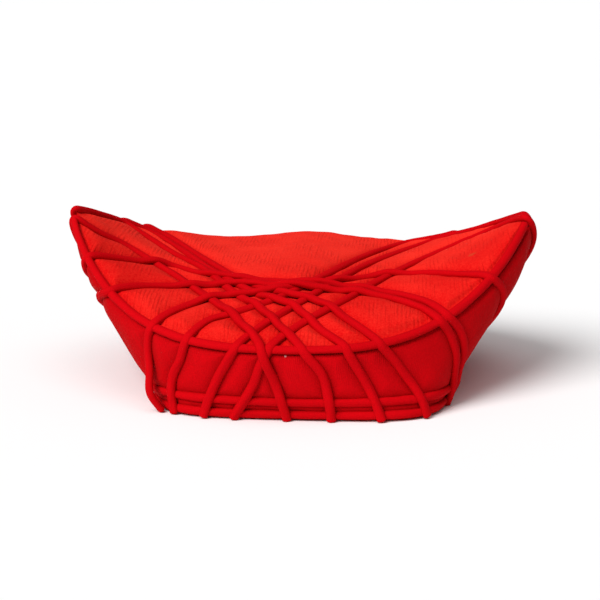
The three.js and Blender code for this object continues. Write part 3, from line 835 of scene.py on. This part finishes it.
deck_across = across_column(np.linspace(0, 1, DECK_COLUMNS + 1))[:, None]
deck_fullness = edge_depth_share(deck_across)
fold_turn = np.linspace(0, np.pi, DECK_FOLD_ROWS + 1)[1:-1]
deck_forward = np.concatenate(
    [
        np.linspace(0, 1, DECK_ROWS + 1),
        np.ones(DECK_FOLD_ROWS - 1),
        np.linspace(1, 0, DECK_UNDER_ROWS + 1),
        np.zeros(DECK_FOLD_ROWS - 1),
        np.zeros(1),
    ]
)[None]
fold_out = np.concatenate(
    [
        np.zeros(DECK_ROWS + 1),
        np.sin(fold_turn),
        np.zeros(DECK_UNDER_ROWS + 1),
        -np.sin(fold_turn),
        np.zeros(1),
    ]
)[None]
deck_depth = np.concatenate(
    [
        np.zeros(DECK_ROWS + 1),
        (1 - np.cos(fold_turn)) / 2,
        np.ones(DECK_UNDER_ROWS + 1),
        (1 + np.cos(fold_turn)) / 2,
        np.zeros(1),
    ]
)[None]
deck_back = BACK_REACH * deck_fullness
deck_front = (PIPING_MARGIN - FRONT_REACH) * deck_fullness
fold_reach = np.minimum(DECK_THICKNESS / 2, FOLD_SHARE * (deck_back - deck_front))
deck_y = between(deck_back - fold_reach, deck_front + fold_reach, deck_forward) - fold_out * fold_reach
deck_x = between(TIP_REACH, TIP_REACH - PIPING_MARGIN, deck_forward) * deck_across
deck_under = DECK_THICKNESS * deck_depth * np.minimum(1, fold_reach / (DECK_THICKNESS / 2))
deck_net = deck_place(deck_x, deck_y)
deck_relief, deck_distance = cloth_relief(deck_net, DECK_BULGE)
deck_seat = fade(deck_forward, 0, BACK_FADE) * fade(1 - deck_forward, 0, FRONT_FADE)
deck_seat = deck_seat * fade(deck_fullness, 0, DECK_TIP_FADE) * (1 - deck_depth)
deck_net = deck_net + deck_out(deck_x, deck_y) * (deck_relief * deck_seat)[..., None]
deck_net[..., 2] -= deck_under
deck_uv = np.stack([deck_x, deck_y], -1)
# Paler away from the cords, which leaves painted shade beside them, with some wear on the open panels;
# towards the front the paler colour falls off.
deck_wear_and_shade = fade(deck_distance, *CORD_SHADE_REACH) * between(1, FRONT_PALE_SHARE, fade(deck_forward, *FRONT_PALE_SPAN))
crown_cloth = sewn_piece("crown_cloth", deck_net, deck_uv, {"wear_and_shade": deck_wear_and_shade})

# The dye, the paler colour for worn and lit panels, and the painted shade for the gaps between threads.
CROWN_DYE = (0.61, 0.002, 0.003, 1)
CROWN_WORN_AND_LIT = (0.90, 0.031, 0.018, 1)
CROWN_GAP_SHADE = (0.46, 0.002, 0.002, 1)
CROWN_THREADS = (430.0, 700.0)
CROWN_WEAVE_DEPTH = 0.0004
CROWN_MARKS = [
    ((0.1072, -0.0139, 0.0755), 0.0055, 0.45, STAIN),
    ((-0.0239, -0.0671, 0.0540), 0.0011, 0.7, LINT),
    ((-0.0591, -0.0074, 0.0625), 0.0012, 0.6, LINT),
    ((-0.0842, 0.0143, 0.0690), 0.0010, 0.5, LINT),
]
crown_cotton = stretched_cotton(
    "crown_cotton", CROWN_DYE, CROWN_WORN_AND_LIT, CROWN_GAP_SHADE, CROWN_THREADS, CROWN_WEAVE_DEPTH, CROWN_MARKS
)
crown_cloth.data.materials.append(crown_cotton)
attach(crown_cloth, "root")
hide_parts("crown_deck")

# Cords
# Each cord is a soft roll of crimson cotton jersey about 4.4 mm thick, sewn along one side. It is pulled
# tight, so it lies flat-bottomed on the cloth, and its lengthwise creases turn slowly round it.
CORD_STEP = 0.0008
CORD_SIDES = 26
CAP_RINGS = 5
CORD_WIDTH = 1.24
CORD_DEPTH = 0.90
SEAM_DEPTH = 0.00016
SEAM_HALF_ANGLE = 0.30
TURNS_PER_METRE = 3.2
THICKNESS_WANDER = 0.045
WANDER_LENGTH = 0.012
TWIST_WANDER = 0.5
CREASE_DEPTH = 0.00007
CREASES_ROUND = 3
CREASE_WANDER = 2
CAP_LENGTH = 0.6
FOOT_FLOOR_GAP = 0.0003
rng = np.random.default_rng(41)


def slow_wander(at, length, count):
    """A slow random line along a cord, about -1 to 1: random heights at even stations, eased between."""
    stations = max(4, int(at[-1] / length))
    heights = rng.uniform(-1, 1, (stations + 1, count))
    run = at / at[-1] * stations
    low = np.minimum(run.astype(int), stations - 1)
    t = (run - low)[:, None]
    return between(heights[low], heights[low + 1], t * t * (3 - 2 * t))


def cord_piece(cord):
    """A cord carried along its line. Its section is an oval, wider than deep, whose radius wanders slowly,
    with a narrow bell-shaped seam that turns round it. The ends close in half domes, and what would pass
    the floor is pressed flat just above it."""
    at, line, ways = even_walk(cord["line"], cord["ways"], CORD_STEP)
    along = unit(np.gradient(line, axis=0))
    up = unit(ways - (ways * along).sum(-1, keepdims=True) * along)
    side = np.cross(along, up)
    angle = np.linspace(0, 2 * np.pi, CORD_SIDES + 1)[None]
    wander = slow_wander(at, WANDER_LENGTH, 3)
    twist = TURNS_PER_METRE * 2 * np.pi * at[:, None] + rng.uniform(0, 2 * np.pi)
    twist = twist + TWIST_WANDER * wander[:, 2:]
    off_seam = np.abs((angle - twist + np.pi) % (2 * np.pi) - np.pi)
    seam = SEAM_DEPTH * np.exp(-((off_seam / SEAM_HALF_ANGLE) ** 2))
    crease = CREASE_DEPTH * np.sin(CREASES_ROUND * (angle - twist) + CREASE_WANDER * wander[:, 1:2])
    radius = cord["radius"] * (1 + THICKNESS_WANDER * wander[:, :1]) - seam + crease
    turn = np.linspace(0, np.pi / 2, CAP_RINGS + 1)[::-1]
    thin = np.concatenate([np.cos(turn), np.ones(len(at)), np.cos(turn[::-1])])
    last = np.full(CAP_RINGS + 1, len(at) - 1)
    pick = np.concatenate([np.zeros(CAP_RINGS + 1, int), np.arange(len(at)), last])
    push = np.concatenate([-np.sin(turn), np.zeros(len(at)), np.sin(turn[::-1])]) * cord["radius"]
    middle = line[pick] + along[pick] * push[:, None] * CAP_LENGTH
    grid_radius = (radius[pick] * thin[:, None])[..., None]
    lift = np.cos(angle)[..., None] * CORD_DEPTH * up[pick][:, None]
    widen = np.sin(angle)[..., None] * CORD_WIDTH * side[pick][:, None]
    places = middle[:, None] + grid_radius * (lift + widen)
    places[..., 2] = np.maximum(places[..., 2], FOOT_FLOOR_GAP)
    uvs = np.stack(np.broadcast_arrays(at[pick][:, None], angle * cord["radius"]), -1)
    # Masks for the colour: the crest drives a painted highlight on the top of the cord along with wear, and
    # the seam drives painted shade in its groove.
    crest = np.broadcast_to((1 + np.cos(angle)) / 2, grid_radius.shape[:2])
    seams = np.exp(-((off_seam[pick] / SEAM_HALF_ANGLE) ** 2))
    return sewn_piece(cord["name"] + "_roll", places, uvs, {"crest": crest, "seam": seams})


JERSEY_THREADS = (1500.0, 1700.0)
JERSEY_GAP_SHARE = 0.4
CREST_START = 0.55
DRAWN_CREASES = (90.0, 1100.0, 1.0)


def rolled_jersey(name, dye, worn_and_lit, gap_shade, marks):
    """Crimson jersey, ribbed finely along its length, paler on its crest and darker in its seam: the paler
    crest is partly wear and partly a painted highlight on the top of the cord, and the dark seam is painted
    shade.
    """
    material = bpy.data.materials.new(name)
    material.use_nodes = True
    tree = material.node_tree
    shader = tree.nodes["Principled BSDF"]
    place = add_node(tree, "ShaderNodeTexCoord").outputs["Object"]
    uv = add_node(tree, "ShaderNodeUVMap", uv_map="cloth").outputs[0]
    crest = add_node(tree, "ShaderNodeAttribute", attribute_name="crest").outputs["Fac"]
    seam = add_node(tree, "ShaderNodeAttribute", attribute_name="seam").outputs["Fac"]
    across, along = JERSEY_THREADS
    threaded = use_group(tree, weave, {"Place": uv, "Threads across": across, "Threads along": along})
    # The seam and the gaps between threads are darkened as painted shade.
    gap = maths(tree, "MAXIMUM", maths(tree, "MULTIPLY", threaded["Gap"], JERSEY_GAP_SHARE), seam)
    # Paler towards the crest: partly wear, partly a painted highlight on the lit top of the cord.
    wear_and_shade = spread(tree, crest, CREST_START, 1.0)
    inputs = {"Place": place, "Dye": dye, "Worn and lit": worn_and_lit, "Gap shade": gap_shade, "Wear and shade": wear_and_shade, "Gap": gap}
    cotton = use_group(tree, tone, inputs)
    wire(tree, shader.inputs["Base Color"], marked(tree, place, cotton["Colour"], marks))
    wire(tree, shader.inputs["Roughness"], cotton["Roughness"])
    drawn = add_node(tree, "ShaderNodeMapping", {"Vector": uv, "Scale": DRAWN_CREASES}).outputs[0]
    creases = cloudy(tree, drawn, 1.0, 2.0, 0.5)
    surface = maths(tree, "MULTIPLY_ADD", creases, 1.0, maths(tree, "MULTIPLY", threaded["Height"], 0.5))
    surface = maths(tree, "MULTIPLY_ADD", cotton["Fuzz"], 0.4, surface)
    bump = add_node(tree, "ShaderNodeBump", {"Height": surface, "Strength": 0.6, "Distance": 0.00025})
    wire(tree, shader.inputs["Normal"], bump.outputs["Normal"])
    shader.inputs["Specular IOR Level"].default_value = 0.03
    shader.inputs["Sheen Weight"].default_value = 0.02
    shader.inputs["Sheen Roughness"].default_value = 0.4
    shader.inputs["Sheen Tint"].default_value = (1.0, 0.05, 0.06, 1)
    return material


# The dye, the paler colour for the worn and lit crest, and the painted shade for the seam and the gaps
# between threads.
CORD_DYE = (0.44, 0.0004, 0.0022, 1)
CORD_WORN_AND_LIT = (0.56, 0.0008, 0.004, 1)
CORD_GAP_SHADE = (0.42, 0.001, 0.004, 1)
CORD_MARKS = [((0.0179, -0.0845, 0.0510), 0.0016, 0.8, INK)]
cord_jersey = rolled_jersey("cord_jersey", CORD_DYE, CORD_WORN_AND_LIT, CORD_GAP_SHADE, CORD_MARKS)
for cord in laid_cords:
    roll = cord_piece(cord)
    roll.data.materials.append(cord_jersey)
    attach(roll, "root")
    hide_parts(cord["name"])

# Floor, light and camera
# A plain pale floor, a large soft light from the upper left and front, a weaker one from above, and an
# even pale surround. The camera stands in front, a little to the right and above.
FLOOR_HALF = 30.0
FLOOR_COLOUR = (0.93, 0.93, 0.93, 1)
SURROUND = (1.0, 1.0, 1.0, 1)
SURROUND_STRENGTH = 0.17
bpy.context.scene.view_settings.view_transform = "Standard"
floor_mesh = bpy.data.meshes.new("floor")
floor_corners = [(FLOOR_HALF * x, FLOOR_HALF * y, 0) for x, y in ((-1, -1), (1, -1), (1, 1), (-1, 1))]
floor_mesh.from_pydata(floor_corners, [], [(0, 1, 2, 3)])
floor = bpy.data.objects.new("floor", floor_mesh)
bpy.context.scene.collection.objects.link(floor)
floor_paint = bpy.data.materials.new("floor_paint")
floor_paint.use_nodes = True
floor_shader = floor_paint.node_tree.nodes["Principled BSDF"]
floor_shader.inputs["Base Color"].default_value = FLOOR_COLOUR
floor_shader.inputs["Roughness"].default_value = 0.9
floor_shader.inputs["Specular IOR Level"].default_value = 0.0
floor_mesh.materials.append(floor_paint)

surround = bpy.data.worlds.new("surround")
surround.use_nodes = True
surround.node_tree.nodes["Background"].inputs["Color"].default_value = SURROUND
surround.node_tree.nodes["Background"].inputs["Strength"].default_value = SURROUND_STRENGTH
bpy.context.scene.world = surround


def soft_sun(name, azimuth, elevation, softness, strength):
    """A wide even light from far away. Azimuth 0 is straight in front, and 90 to the right."""
    lamp = bpy.data.lights.new(name, "SUN")
    lamp.angle = math.radians(softness)
    lamp.energy = strength
    holder = bpy.data.objects.new(name, lamp)
    a, e = math.radians(azimuth), math.radians(elevation)
    away = Vector((math.sin(a) * math.cos(e), -math.cos(a) * math.cos(e), math.sin(e)))
    holder.location = away
    holder.rotation_mode = "QUATERNION"
    holder.rotation_quaternion = away.to_track_quat("Z", "Y")
    bpy.context.scene.collection.objects.link(holder)


soft_sun("key_light", azimuth=-38, elevation=44, softness=36, strength=3.1)
soft_sun("top_light", azimuth=15, elevation=72, softness=50, strength=0.75)

CAMERA_DISTANCE = 0.950
CAMERA_AZIMUTH = math.radians(4.5)
CAMERA_ELEVATION = math.radians(12.5)
LENS = 92.7
AIM = np.array([0.0, 0.00515, 0.050])
AIM_RIGHT = 0.00112
AIM_UP = -0.00474
view_back = np.array(
    [
        math.sin(CAMERA_AZIMUTH) * math.cos(CAMERA_ELEVATION),
        -math.cos(CAMERA_AZIMUTH) * math.cos(CAMERA_ELEVATION),
        math.sin(CAMERA_ELEVATION),
    ]
)
view_right = np.array([math.cos(CAMERA_AZIMUTH), math.sin(CAMERA_AZIMUTH), 0])
view_up = np.cross(view_back, view_right)
aim = AIM + view_right * AIM_RIGHT + view_up * AIM_UP
camera = bpy.data.objects.new("camera", bpy.data.cameras.new("camera"))
camera.data.lens = LENS
camera.data.sensor_width = 36
camera.location = aim + view_back * CAMERA_DISTANCE
camera.rotation_mode = "QUATERNION"
camera.rotation_quaternion = Vector(view_back).to_track_quat("Z", "Y")
bpy.context.scene.collection.objects.link(camera)
bpy.context.scene.camera = camera
